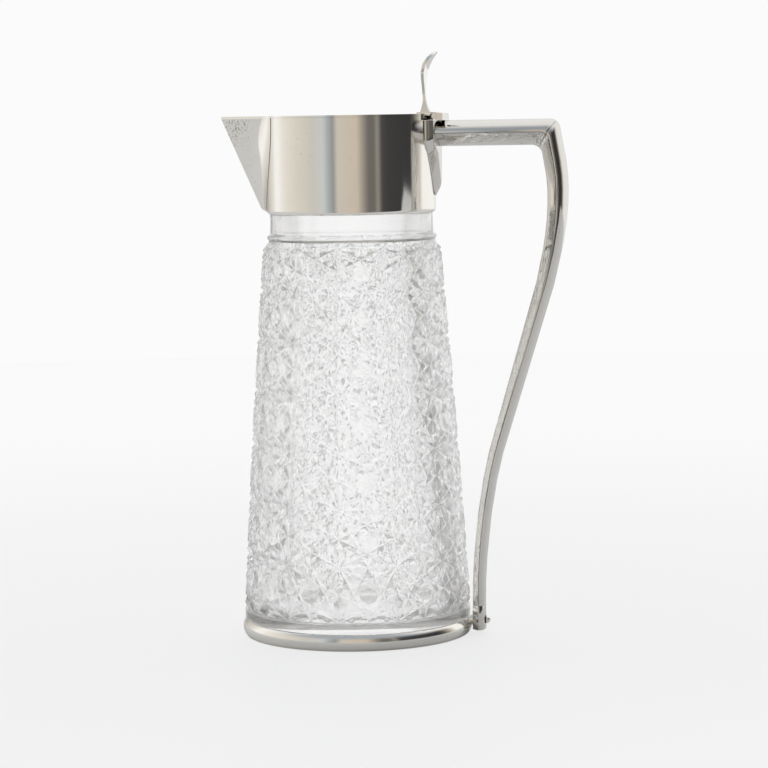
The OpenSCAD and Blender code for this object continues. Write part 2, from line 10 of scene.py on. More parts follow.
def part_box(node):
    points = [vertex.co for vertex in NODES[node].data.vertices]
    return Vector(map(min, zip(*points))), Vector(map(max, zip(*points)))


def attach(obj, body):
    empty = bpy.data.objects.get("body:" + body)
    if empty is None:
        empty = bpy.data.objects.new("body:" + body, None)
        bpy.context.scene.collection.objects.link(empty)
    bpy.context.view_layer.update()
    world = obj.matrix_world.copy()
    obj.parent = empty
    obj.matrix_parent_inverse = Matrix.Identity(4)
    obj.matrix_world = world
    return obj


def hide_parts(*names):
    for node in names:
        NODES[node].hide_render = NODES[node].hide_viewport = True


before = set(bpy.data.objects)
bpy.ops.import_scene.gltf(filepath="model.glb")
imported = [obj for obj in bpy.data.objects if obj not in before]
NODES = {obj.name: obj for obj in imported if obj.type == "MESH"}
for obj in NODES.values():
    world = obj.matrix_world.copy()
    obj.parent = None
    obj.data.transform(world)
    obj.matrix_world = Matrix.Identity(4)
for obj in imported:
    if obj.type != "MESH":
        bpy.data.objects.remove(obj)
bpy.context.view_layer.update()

bl_info = {
    "name": "Claret jug",
    "version": (1, 0, 0),
    "blender": (4, 5, 0),
    "location": "3D View > Sidebar > Jug",
    "description": "Builds a cut-glass claret jug with silver mounts",
    "category": "Object",
}

MM = 0.001
WHITE = (1.0, 1.0, 1.0)


def tone(red, green, blue):
    """A display colour, 0 to 255, as the linear colour that materials take."""
    parts = [c / 255.0 for c in (red, green, blue)]
    return tuple(c / 12.92 if c <= 0.04045 else ((c + 0.055) / 1.055) ** 2.4 for c in parts)


# ------------------------------------------------------------------ settings


class JugSizes(bpy.types.PropertyGroup):
    """Sizes of the forms that the frame leaves to the looks."""

    columns: bpy.props.IntProperty(
        name="Star columns", description="Columns of stars round the body",
        default=12, min=6, max=24
    )
    rows: bpy.props.IntProperty(
        name="Star rows", description="Rows of cells up the body", default=7, min=3, max=12
    )
    row_lift: bpy.props.FloatProperty(
        name="Row lift", description="How far the rows draw together towards the neck",
        default=0.034
    )
    mitre_depth: bpy.props.FloatProperty(
        name="Mitre depth", description="Depth of the long mitre cuts", default=1.35 * MM,
        subtype="DISTANCE", unit="LENGTH"
    )
    mitre_share: bpy.props.FloatProperty(
        name="Mitre width", description="Half-width of a mitre cut, as a share of a cell",
        default=0.085
    )
    lens: bpy.props.FloatProperty(
        name="Lens", description="Focal length on a 36 mm sensor, in millimetres",
        default=129.375
    )
    camera_distance: bpy.props.FloatProperty(
        name="Camera distance", description="Level distance from the jug's axis",
        default=1359.85 * MM, subtype="DISTANCE", unit="LENGTH"
    )
    camera_height: bpy.props.FloatProperty(
        name="Camera height", description="Height above the table", default=256.3 * MM,
        subtype="DISTANCE", unit="LENGTH"
    )
    camera_turn: bpy.props.FloatProperty(
        name="Camera turn", description="Turn towards the handle", default=math.radians(9.5),
        subtype="ANGLE", unit="ROTATION"
    )


class JugColours(bpy.types.PropertyGroup):
    """Colours of the metal, the glass and the stage."""

    silver: bpy.props.FloatVectorProperty(
        name="Silver", description="Polished silver", default=(0.92, 0.895, 0.85), size=3,
        subtype="COLOR"
    )
    tarnish: bpy.props.FloatVectorProperty(
        name="Tarnish", description="Brown of the tarnished specks", default=(0.30, 0.25, 0.19),
        size=3, subtype="COLOR"
    )
    glass: bpy.props.FloatVectorProperty(
        name="Glass", description="Tint of the glass", default=(0.998, 1.0, 1.0), size=3,
        subtype="COLOR"
    )
    floor: bpy.props.FloatVectorProperty(
        name="Floor", description="Pale floor", default=(0.88, 0.88, 0.88), size=3,
        subtype="COLOR"
    )
    backdrop: bpy.props.FloatVectorProperty(
        name="Backdrop", description="White backdrop", default=tone(251, 251, 251), size=3,
        subtype="COLOR"
    )


def sizes():
    return bpy.context.scene.jug_sizes


def colours():
    return bpy.context.scene.jug_colours


# ------------------------------------------------------------------ shader sums


class Num:
    """A number socket that takes part in Python sums."""

    def __init__(self, finish, socket):
        self.finish = finish
        self.socket = socket

    def _sum(self, operation, *values):
        node = self.finish.node("ShaderNodeMath", {"operation": operation}, *values)
        return Num(self.finish, node.outputs[0])

    def __add__(self, other):
        return self._sum("ADD", self, other)

    __radd__ = __add__

    def __sub__(self, other):
        return self._sum("SUBTRACT", self, other)

    def __rsub__(self, other):
        return self._sum("SUBTRACT", other, self)

    def __mul__(self, other):
        return self._sum("MULTIPLY", self, other)

    __rmul__ = __mul__

    def __truediv__(self, other):
        return self._sum("DIVIDE", self, other)

    def __pow__(self, other):
        return self._sum("POWER", self, other)

    def __abs__(self):
        return self._sum("ABSOLUTE", self)

    def __neg__(self):
        return self._sum("MULTIPLY", self, -1.0)

    def least(self, other):
        return self._sum("MINIMUM", self, other)

    def most(self, other):
        return self._sum("MAXIMUM", self, other)

    def turn_from(self, other):
        """The angle of the point (other, self) round the origin, in radians."""
        return self._sum("ARCTAN2", self, other)

    def between(self, low, high):
        """0 below low, 1 above high, and a smooth step between them."""
        node = self.finish.node(
            "ShaderNodeMapRange", {"interpolation_type": "SMOOTHSTEP"}, self, low, high, 0.0, 1.0
        )
        return Num(self.finish, node.outputs[0])

    def within(self, start, full, fade, end):
        """1 from full to fade, 0 before start and after end, with smooth steps."""
        return self.between(start, full) * (1.0 - self.between(fade, end))


class Finish:
    """A material, or the world, whose nodes are added by one method."""

    NODES_ACROSS = 8
    NODE_STEP = (200, 260)

    def __init__(self, name, world=False):
        made = bpy.data.worlds.new(name) if world else bpy.data.materials.new(name)
        made.use_nodes = True
        self.made = made
        self.tree = made.node_tree
        self.tree.nodes.clear()
        self.count = 0

    def node(self, kind, settings=None, *values, **named):
        """A node of a kind, its settings set first, then its sockets by order or by name."""
        node = self.tree.nodes.new(kind)
        self.count += 1
        row, column = divmod(self.count, self.NODES_ACROSS)
        node.location = (column * self.NODE_STEP[0], -row * self.NODE_STEP[1])
        for key, value in (settings or {}).items():
            if key == "stops":
                self.set_stops(node.color_ramp, value)
            else:
                setattr(node, key, value)
        for socket, value in zip(node.inputs, values):
            self.feed(socket, value)
        for key, value in named.items():
            self.feed(self.socket(node, key), value)
        return node

    def set_stops(self, ramp, stops):
        """Gives a colour ramp its stops, each a place and a colour."""
        while len(ramp.elements) > 1:
            ramp.elements.remove(ramp.elements[-1])
        ramp.elements[0].position = stops[0][0]
        for place, _ in stops[1:]:
            ramp.elements.new(place)
        for element, (_, colour) in zip(ramp.elements, stops):
            element.color = (*colour, 1.0)

    def feed(self, socket, value):
        """Links a socket to a value, or sets it; None leaves it as it is."""
        if value is None:
            return
        if isinstance(value, Num):
            value = value.socket
        if isinstance(value, bpy.types.NodeSocket):
            self.tree.links.new(value, socket)
        elif isinstance(value, tuple) and len(value) == 3 and len(socket.default_value) == 4:
            socket.default_value = (*value, 1.0)
        else:
            socket.default_value = value

    def socket(self, node, key):
        """A node's enabled input of a name, in which _ stands for a space."""
        name = key.replace("_", " ")
        for socket in node.inputs:
            if socket.name.lower() == name.lower() and socket.enabled:
                return socket
        raise KeyError(f"{node.bl_idname} has no socket {name}")

    def place(self):
        """Object coordinates: the whole socket, and its three numbers, in metres."""
        whole = self.node("ShaderNodeTexCoord").outputs["Object"]
        return whole, *self.parts(whole)

    def parts(self, vector):
        """The three numbers of a vector socket."""
        outputs = self.node("ShaderNodeSeparateXYZ", None, vector).outputs
        return tuple(Num(self, outputs[k]) for k in range(3))

    def noise(self, where, scale, detail=3.0, roughness=0.5):
        """Noise from 0 to 1, with about scale features in a metre."""
        node = self.node(
            "ShaderNodeTexNoise", None, Vector=where, Scale=scale, Detail=detail,
            Roughness=roughness
        )
        return Num(self, node.outputs[0])

    def mix(self, share, first, second):
        """The colour that is first at a share of 0 and second at 1."""
        node = self.node("ShaderNodeMix", {"data_type": "RGBA"})
        for socket, value in zip((node.inputs[0], *node.inputs[6:8]), (share, first, second)):
            self.feed(socket, value)
        return node.outputs[2]

    def bump(self, height, distance, strength=1.0, over=None):
        """A normal bumped by a height, over another normal where one is given."""
        node = self.node(
            "ShaderNodeBump", None, Height=height, Distance=distance, Strength=strength,
            Normal=over
        )
        return node.outputs[0]

    def rays(self, kind):
        """1 for the rays of a kind, such as "Is Camera Ray", and 0 for the others."""
        return Num(self, self.node("ShaderNodeLightPath").outputs[kind])

    def surface(self, shader):
        """Ends the material in a shader, and gives the material."""
        self.node("ShaderNodeOutputMaterial", None, shader)
        return self.made


# ------------------------------------------------------------------ finishes


# The soldered joint beside the spout, drawn as solder with a painted dark reflection along it. Its
# turns are in degrees round the collar.
JOINT_HEIGHT = 46.0 * MM  # from the joint's foot to the collar's rim
JOINT_FOOT_TURN = 13.0  # from the spout's middle to its edge, at the foot
JOINT_RIM_TURN = 32.3  # and at the rim
JOINT_OUTSIDE = 0.5  # how far the joint lies outside the spout's edge
JOINT_CORE, JOINT_REACH = 0.35, 0.75  # where the joint's dark starts to fade, and where it ends
JOINT_START = 40.0  # the joint fades in over 1/40 of its height

# Features in a metre of the finishes' noises.
HAZE_SCALE = 45.0
WIPE_SCALE = 900.0
SPECK_SCALE = 620.0
PATCH_SCALE = 28.0
SWELL_SCALE = 9.0
FILM_SCALE = 260.0
PLASTER_SCALE = 900.0
STEEL_SCALE = 1500.0

# The values of a noise, or of the facing, between which a mark on silver comes in.
SPECK_EDGE = (0.60, 0.72)
PATCH_EDGE = (0.50, 0.72)
SPOT_EDGE = (0.52, 0.66)
CLOUD_EDGE = (0.45, 0.8)
# the facing at which the painted shade along the silver's outline comes in
PAINTED_OUTLINE_SHADE_EDGE = (0.72, 0.97)

# How much of its colour a mark on silver has where it is strongest.
SPOT_SHARE = 0.85
CLOUD_SHARE = 0.10
# the share of painted shade along the silver's outline
PAINTED_OUTLINE_SHADE_SHARE = 0.6
# the share of the solder and painted dark reflection at the spout's joint
SOLDER_AND_REFLECTION_SHARE = 0.85
SPOT_CORE = 0.4  # the share of a patch's radius within which its specks are full
# the grey of the painted shade along the silver's outline
PAINTED_OUTLINE_SHADE = (0.16, 0.15, 0.14)
# the colour of the solder and painted dark reflection at the spout's joint
SOLDER_AND_PAINTED_REFLECTION = (0.05, 0.045, 0.04)

# What silver's roughness is made up of.
ROUGH_LEAST = 0.03
ROUGH_HAZE = 0.05
ROUGH_WIPE = 0.05
ROUGH_TARNISH = 0.35

GLASS_IOR = 1.52
GLASS_CLEAR = (0.99, 0.99, 0.99)
GLASS_CLEAR_SHARE = 0.2  # the share of the glass that doesn't bend light


def spout_joint_and_reflection(x, y, z):
    """1 along the soldered edge of the spout on the collar, where solder and a painted dark
    reflection are drawn, 0 elsewhere.
    """
    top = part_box("collar")[1].z
    share = ((z - (top - JOINT_HEIGHT)) / JOINT_HEIGHT).most(0.0).least(1.0)
    bend = share * (2.0 - share)
    edge = bend * math.radians(JOINT_RIM_TURN - JOINT_FOOT_TURN) + math.radians(JOINT_FOOT_TURN)
    off = abs(abs(y).turn_from(-x) - edge - math.radians(JOINT_OUTSIDE))
    line = 1.0 - off.between(math.radians(JOINT_CORE), math.radians(JOINT_REACH))
    return line * (share * JOINT_START).least(1.0)


def silver_finish(name, dull=0.0, tarnish=0.3, joint=False, spots=None, shade=1.0):
    """Polished silver with wipe marks, soft dents and brown specks, and painted shade at its
    outline.

    joint draws the solder beside the spout, with a painted dark reflection along it. spots is the
    x, z and radius of a patch with more specks. shade darkens the metal's colour as painted shade.
    """
    f = Finish(name)
    c = colours()
    where, x, y, z = f.place()
    haze = f.noise(where, HAZE_SCALE, 4.0, 0.6)
    wipe = f.noise(where, WIPE_SCALE, 3.0, 0.6)
    specks = f.noise(where, SPECK_SCALE, 3.0, 0.7)
    patch = f.noise(where, PATCH_SCALE, 2.0, 0.5)
    brown = (specks.between(*SPECK_EDGE) * patch.between(*PATCH_EDGE)) * tarnish
    if spots:
        spot_x, spot_z, radius = spots
        off = ((x - spot_x) ** 2.0 + (z - spot_z) ** 2.0) ** 0.5
        near = 1.0 - off.between(radius * SPOT_CORE, radius)
        brown = brown.most(near * wipe.between(*SPOT_EDGE) * SPOT_SHARE)
    cloud = haze.between(*CLOUD_EDGE) * (CLOUD_SHARE * tarnish)
    # shade scales the silver's colour down, as painted shade
    tint = f.mix(brown.most(cloud), tuple(shade * part for part in c.silver), tuple(c.tarnish))
    # painted shade along the outline, where the silver turns away from the camera
    facing = Num(f, f.node("ShaderNodeLayerWeight", None, 0.5).outputs["Facing"])
    tint = f.mix(facing.between(*PAINTED_OUTLINE_SHADE_EDGE) * PAINTED_OUTLINE_SHADE_SHARE, tint, PAINTED_OUTLINE_SHADE)
    # solder and a painted dark reflection along the spout's joint
    if joint:
        tint = f.mix(spout_joint_and_reflection(x, y, z) * SOLDER_AND_REFLECTION_SHARE, tint, SOLDER_AND_PAINTED_REFLECTION)
    rough = haze * ROUGH_HAZE + wipe * ROUGH_WIPE + brown * ROUGH_TARNISH + (ROUGH_LEAST + dull)
    swell = f.noise(where, SWELL_SCALE, 1.0, 0.4)
    fine = f.bump(wipe, 0.004 * MM, 0.5)
    waves = f.bump(swell, 0.6 * MM, 0.35, fine)
    shader = f.node(
        "ShaderNodeBsdfPrincipled", None, Base_Color=tint, Metallic=1.0, Roughness=rough,
        Normal=waves
    )
    return f.surface(shader.outputs[0])


def glass_finish(name):
    """Clear lead glass, a share of which lets light straight through."""
    f = Finish(name)
    film = f.noise(f.place()[0], FILM_SCALE, 2.0, 0.5)
    shader = f.node(
        "ShaderNodeBsdfPrincipled", None, Base_Color=tuple(colours().glass),
        Roughness=film * 0.02, IOR=GLASS_IOR, Transmission_Weight=1.0
    )
    clear = f.node("ShaderNodeBsdfTransparent", None, GLASS_CLEAR)
    both = f.node(
        "ShaderNodeMixShader", None, GLASS_CLEAR_SHARE, shader.outputs[0], clear.outputs[0]
    )
    return f.surface(both.outputs[0])


def cement_finish(name):
    """Plaster-like cement, hidden inside the mounts."""
    f = Finish(name)
    grain = f.noise(f.place()[0], PLASTER_SCALE, 4.0, 0.6)
    tint = f.mix(grain, (0.80, 0.78, 0.73), (0.90, 0.88, 0.84))
    shader = f.node(
        "ShaderNodeBsdfPrincipled", None, Base_Color=tint, Roughness=grain * 0.2 + 0.7,
        Normal=f.bump(grain, 0.05 * MM)
    )
    return f.surface(shader.outputs[0])


def washer_finish(name):
    """Dark steel."""
    f = Finish(name)
    grain = f.noise(f.place()[0], STEEL_SCALE, 3.0, 0.6)
    tint = f.mix(grain, (0.035, 0.033, 0.032), (0.09, 0.085, 0.08))
    shader = f.node(
        "ShaderNodeBsdfPrincipled", None, Base_Color=tint, Metallic=0.8,
        Roughness=grain * 0.2 + 0.35
    )
    return f.surface(shader.outputs[0])


# ------------------------------------------------------------------ mesh tools


WELD = 0.002 * MM  # how near two corners of a CAD mesh are one
FLAT = math.radians(2)  # the most that two faces of a flat face differ
SHARP = math.radians(50)  # the least that an edge turns to be rounded


def everything(bm):
    """All of a mesh, as the geometry that operators take."""
    return bm.verts[:] + bm.edges[:] + bm.faces[:]


def only(made, kind):
    """The parts of one kind in what an operator made."""
    return [part for part in made["geom"] if isinstance(part, kind)]


def new_object(name, mesh):
    """An object of a mesh, in the scene."""
    made = bpy.data.objects.new(name, mesh)
    bpy.context.scene.collection.objects.link(made)
    return made


def keep(bm, name, finish, body, node, smooth_angle=None):
    """Makes a bmesh an object in the row's frame that rides on a body and stands for a node."""
    mesh = bpy.data.meshes.new(name)
    if smooth_angle is not None:
        limit = math.radians(smooth_angle)
        for face in bm.faces:
            face.smooth = True
        for edge in bm.edges:
            edge.smooth = len(edge.link_faces) == 2 and edge.calc_face_angle(0.0) < limit
    bm.to_mesh(mesh)
    bm.free()
    mesh.materials.append(finish)
    piece = new_object(name, mesh)
    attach(piece, body)
    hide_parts(node)


def polished(node, finish, body="jug", angle=28.0, edge=0.0):
    """A copy of a CAD node, merged so that round faces shade smoothly, its edges rounded where an
    edge width is given.
    """
    bm = bmesh.new()
    bm.from_mesh(NODES[node].data)
    bmesh.ops.remove_doubles(bm, verts=bm.verts, dist=WELD)
    if edge:
        bmesh.ops.dissolve_limit(bm, angle_limit=FLAT, verts=bm.verts, edges=bm.edges)
        corners = [
            e for e in bm.edges if len(e.link_faces) == 2 and e.calc_face_angle(0.0) > SHARP
        ]
        bmesh.ops.bevel(
            bm, geom=corners, offset=edge, segments=2, profile=0.5, affect="EDGES", material=-1,
            clamp_overlap=True
        )
    keep(bm, node + "_polished", finish, body, node, angle)


# ------------------------------------------------------------------ glass


# The cut from a star's middle to a cell's middle, against a mitre cut.
DIAGONAL_WIDTH = 0.8
DIAGONAL_DEPTH = 0.95
DIAGONAL_REACH = 0.49  # where it runs out, in cells

# The making of one cell, in which lengths are shares of the cell.
CELL_SPLIT = 1e-5  # how near a corner is to a cut to lie on it
CELL_WELD = 2e-4  # how near two corners are to be one
CELL_SEAM = 1e-4  # the same, between copies of the cell
CELL_STEEP = 20.0  # the depths are drawn out by this while flat parts are dissolved
CELL_FLAT = math.radians(0.6)
PARALLEL = 1e-9  # the slope under which two flanks are parallel

BODY_WELD = 0.02 * MM
BODY_SHARP = math.radians(32)

# The body's outside below the cutting, as (radius, height) in mm: the plain band, the part in
# the ring and the hollow foot.
FOOT_PROFILE = (
    (56.0, 12.7), (56.0, 8.3), (55.8, 8.1), (54.0, 8.1), (54.0, 1.5), (53.8, 1.3), (49.0, 1.3),
    (47.5, 2.0), (30.0, 2.6), (12.0, 2.8), (0.6, 2.8),
)
# The floor of the hollow, as (radius, height) in mm.
FLOOR_PROFILE = ((49.6, 14.6), (46.8, 13.3), (44.0, 13.0), (25.0, 13.0), (0.6, 13.0))
# The heights at which the hollow's wall is given, and its shoulder under the neck, in mm.
WALL_HEIGHTS = (197.0, 193.0, 189.6, 160.0, 130.0, 101.0, 75.0, 50.0, 30.0, 20.0, 16.8)
SHOULDER = 189.6
SHOULDER_SLOPE = 0.10
WALL = 5.5
# The bead and the neck, in mm.
BEAD_UNDER = 41.0  # the radius just under the bead
BEAD_RADIUS = 41.8
BEAD_ROUND = 1.7  # the radius of its rounding
BEAD_TURNS = (20, 45, 70, 90, 110, 135, 160)  # the degrees of its points
NECK_RADIUS = 40.2
NECK_IN_RADIUS = 36.4
NECK_IN_FOOT = 200.5  # the height at which the neck's inside ends


def cut_planes(share, depth):
    """The two flanks of each cut through an eighth of a cell, as (a, b, c) in a + b x + c y."""
    cuts = []
    for point, along, width, deep, fade in (
        ((0.0, 0.0), (1.0, 0.0), share, depth, 0.0),
        ((0.0, 0.0), (2.0, 1.0), share, depth, 0.0),
        ((0.5, 0.25), (2.0, -1.0), share, depth, 0.0),
        ((0.5, 0.0), (-1.0, 2.0), share, depth, 0.0),
        ((0.0, 0.0), (1.0, 1.0), share * DIAGONAL_WIDTH, depth * DIAGONAL_DEPTH, DIAGONAL_REACH),
    ):
        length = math.hypot(*along)
        along = (along[0] / length, along[1] / length)
        side = (-along[1], along[0])
        slope = deep / width
        flanks = []
        for sign in (1.0, -1.0):
            b, c = -sign * slope * side[0], -sign * slope * side[1]
            if fade:
                b -= deep / fade * along[0]
                c -= deep / fade * along[1]
            flanks.append((deep - b * point[0] - c * point[1], b, c))
        cuts.append(flanks)
    return cuts


def cut_depth(cuts, x, y):
    """The depth of the deepest cut at a point of the cell."""
    return max(0.0, max(min(a + b * x + c * y for a, b, c in flanks) for flanks in cuts))


def cut_cell(share, depth):
    """One flat cell of the cutting: a unit square with a star at each corner, Z minus the depth."""
    cuts = cut_planes(share, depth)
    bm = bmesh.new()
    bm.faces.new([bm.verts.new(p) for p in ((0, 0, 0), (0.5, 0, 0), (0.5, 0.5, 0))])
    flanks = [flank for pair in cuts for flank in pair] + [(0.0, 0.0, 0.0)]
    for i, first in enumerate(flanks):
        for second in flanks[i + 1:]:
            a, b, c = (first[k] - second[k] for k in range(3))
            size = math.hypot(b, c)
            if size < PARALLEL:
                continue
            bmesh.ops.bisect_plane(
                bm, geom=everything(bm), dist=CELL_SPLIT,
                plane_co=(-a * b / size**2, -a * c / size**2, 0),
                plane_no=(b / size, c / size, 0)
            )
    bmesh.ops.remove_doubles(bm, verts=bm.verts, dist=CELL_WELD)
    for vert in bm.verts:
        vert.co.z = -cut_depth(cuts, vert.co.x, vert.co.y) * CELL_STEEP
    bmesh.ops.dissolve_limit(
        bm, angle_limit=CELL_FLAT, verts=bm.verts, edges=bm.edges, use_dissolve_boundaries=False
    )
    for vert in bm.verts:
        vert.co.z /= CELL_STEEP
    swap = Matrix(((0, 1, 0, 0), (1, 0, 0, 0), (0, 0, 1, 0), (0, 0, 0, 1)))
    over_x = Matrix.Translation((1, 0, 0)) @ Matrix.Diagonal((-1, 1, 1, 1))
    over_y = Matrix.Translation((0, 1, 0)) @ Matrix.Diagonal((1, -1, 1, 1))
    for mirror in (swap, over_x, over_y):
        made = bmesh.ops.duplicate(bm, geom=everything(bm))
        bmesh.ops.transform(bm, matrix=mirror, verts=only(made, bmesh.types.BMVert))
        bmesh.ops.reverse_faces(bm, faces=only(made, bmesh.types.BMFace))
        bmesh.ops.remove_doubles(bm, verts=bm.verts, dist=CELL_SEAM)
    return bm


def tile(bm, count, step):
    """Copies all of a mesh count times, each a step further on."""
    first = everything(bm)
    for k in range(1, count):
        made = bmesh.ops.duplicate(bm, geom=first)
        bmesh.ops.translate(bm, verts=only(made, bmesh.types.BMVert), vec=Vector(step) * k)
    bmesh.ops.remove_doubles(bm, verts=bm.verts, dist=CELL_SEAM)


def close(bm, loop, rings):
    """Extrudes an open rim of the body through rings of (radius, height) in mm, and closes it."""
    for radius, height in rings:
        loop = only(bmesh.ops.extrude_edge_only(bm, edges=loop), bmesh.types.BMEdge)
        for vert in {v for e in loop for v in e.verts}:
            vert.co = round_axis(radius * MM, math.atan2(vert.co.y, vert.co.x), height * MM)
        for face in {f for e in loop for f in e.link_faces}:
            face.smooth = True
    bmesh.ops.contextual_create(bm, geom=loop)


def round_axis(radius, turn, height):
    """The point at a radius, a turn and a height."""
    return radius * math.cos(turn), radius * math.sin(turn), height


class GlassShape:
    """The body's heights and radii, in metres, from the frame."""

    def __init__(self):
        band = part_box("foot_ring")[1].z + 0.1 * MM
        self.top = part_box("glass_body")[1].z
        self.cut_foot = band + 5.5 * MM
        self.cut_height = 179.0 * MM
        self.cut_top = self.cut_foot + self.cut_height
        self.foot_radius = 56.3 * MM
        self.top_radius = 43.8 * MM
        self.swell = 0.6 * MM
        self.bead = self.cut_top + 2.4 * MM
        self.neck = self.bead + 3.4 * MM

    def radius(self, z):
        """The radius of the uncut body at a height."""
        s = (z - self.cut_foot) / self.cut_height
        taper = self.foot_radius + (self.top_radius - self.foot_radius) * s
        return taper + 4 * self.swell * s * (1 - s)

    def row(self, v):
        """The height of the cutting's row v, which need not be a whole number."""
        u = v / sizes().rows
        lift = sizes().row_lift * math.sin(math.pi * max(u, 0.0) ** 1.5)
        return self.cut_foot + self.cut_height * (u + lift)

    def neck_profile(self):
        """The bead, the neck outside and in, and the hollow, as (radius, height) in mm."""
        bead, neck, top = (height / MM for height in (self.bead, self.neck, self.top))
        profile = [(BEAD_UNDER, bead)]
        for turn in (math.radians(d) for d in BEAD_TURNS):
            profile.append((
                BEAD_RADIUS - BEAD_ROUND + BEAD_ROUND * math.sin(turn),
                bead + BEAD_ROUND - BEAD_ROUND * math.cos(turn)
            ))
        profile += [
            (NECK_RADIUS, neck + 0.3), (NECK_RADIUS, top - 1.0), (NECK_RADIUS - 1.0, top),
            (NECK_IN_RADIUS + 0.8, top), (NECK_IN_RADIUS, top - 0.8),
            (NECK_IN_RADIUS, NECK_IN_FOOT)
        ]
        for z in WALL_HEIGHTS:
            wall = WALL + max(0.0, z - SHOULDER) * SHOULDER_SLOPE
            profile.append((self.radius(z * MM) / MM - wall, z))
        return profile + list(FLOOR_PROFILE)


class CLARET_OT_glass(bpy.types.Operator):
    """Cuts the stars and mitres into the glass body"""

    bl_idname = "claret.glass"
    bl_label = "Cut glass body"

    def execute(self, context):
        s = sizes()
        shape = GlassShape()
        bm = cut_cell(s.mitre_share, s.mitre_depth)
        tile(bm, s.rows, (0, 1, 0))
        tile(bm, s.columns, (1, 0, 0))
        for vert in bm.verts:
            turn = 2 * math.pi * vert.co.x / s.columns
            height = shape.row(vert.co.y)
            vert.co = round_axis(shape.radius(height) + vert.co.z, turn, height)
        bmesh.ops.remove_doubles(bm, verts=bm.verts, dist=BODY_WELD)
        bmesh.ops.triangulate(bm, faces=bm.faces)
        rims = [e for e in bm.edges if e.is_boundary]
        middle = (shape.cut_foot + shape.cut_top) / 2
        lower = [e for e in rims if e.verts[0].co.z < middle]
        upper = [e for e in rims if e.verts[0].co.z > middle]
        close(bm, lower, FOOT_PROFILE)
        close(bm, upper, shape.neck_profile())
        for edge in bm.edges:
            if len(edge.link_faces) == 2 and edge.calc_face_angle(0.0) > BODY_SHARP:
                edge.smooth = False
        bmesh.ops.recalc_face_normals(bm, faces=bm.faces)
        keep(bm, "glass_cut", glass_finish("Clear cut glass"), "jug", "glass_body")
        return {"FINISHED"}


# ------------------------------------------------------------------ mounts


# The x, z and radius of the specks near the spout's tip.
SPOUT_SPOTS = (-56 * MM, 250 * MM, 11 * MM)


class CLARET_OT_mounts(bpy.types.Operator):
    """Polishes the collar, the spout, the lid and the foot ring"""

    bl_idname = "claret.mounts"
    bl_label = "Silver mounts"

    def execute(self, context):
        sheet = silver_finish("Spout silver", tarnish=0.9, spots=SPOUT_SPOTS)
        inside = silver_finish("Inside silver", dull=0.1, tarnish=0.8)
        cement = cement_finish("Cement")
        # the collar carries the solder and painted dark reflection at the spout's joint
        polished("collar", silver_finish("Collar silver", tarnish=0.5, joint=True))
        polished("spout", sheet)
        polished("foot_ring", silver_finish("Foot ring silver", tarnish=0.6))
        polished("foot_ring_lug", sheet)
        polished("lid", silver_finish("Lid silver", dull=0.03, tarnish=0.5), "lid")
        polished("lid_bezel", inside, "lid")
        for node in ("foot_cement", "neck_cement"):
            polished(node, cement)
        return {"FINISHED"}


class CLARET_OT_hinge(bpy.types.Operator):
    """Polishes the hinge and its thumbpiece"""

    bl_idname = "claret.hinge"
    bl_label = "Hinge and thumbpiece"

    def execute(self, context):
        fitting = silver_finish("Hinge silver", dull=0.04, tarnish=0.9)
        cast = silver_finish("Cast silver", tarnish=0.4)
        polished("hinge_fixed_leaf", fitting)
        polished("hinge_pin", fitting)
        polished("hinge_lid_leaf", fitting, "lid")
        polished("thumbpiece", cast, "lid", angle=40.0)
        return {"FINISHED"}


# ------------------------------------------------------------------ handle


# The shield-shaped plate on the collar. Its back stands clear of the collar, and its face stays
# inside the solid.
DROP_BACK_GAP = 0.05 * MM
DROP_FACE_GAP = 0.02 * MM
DROP_EDGE = 0.5 * MM  # its thickness at the edge
DROP_HALF = 14.9 * MM
DROP_TIP_RADIUS = 4 * MM
DROP_SIDE = 9.3 * MM  # the length of its straight sides
DROP_TIP_STEPS = 6
DROP_GRID = (-14, 14)  # its cuts across, in mm from the middle
DROP_BEVEL = 5.2 * MM  # the bevel's width below the bar
DROP_BEVEL_LESS = 3.2 * MM  # how much less it is beside the bar
DROP_BEVEL_RUN = 3 * MM  # the height over which the bevel changes
GRID_SPLIT = 1e-6

SEAM_ROUND = 0.25 * MM  # how far the shells' edges are rounded, so that their seams show


def clamp(share):
    return min(1.0, max(0.0, share))


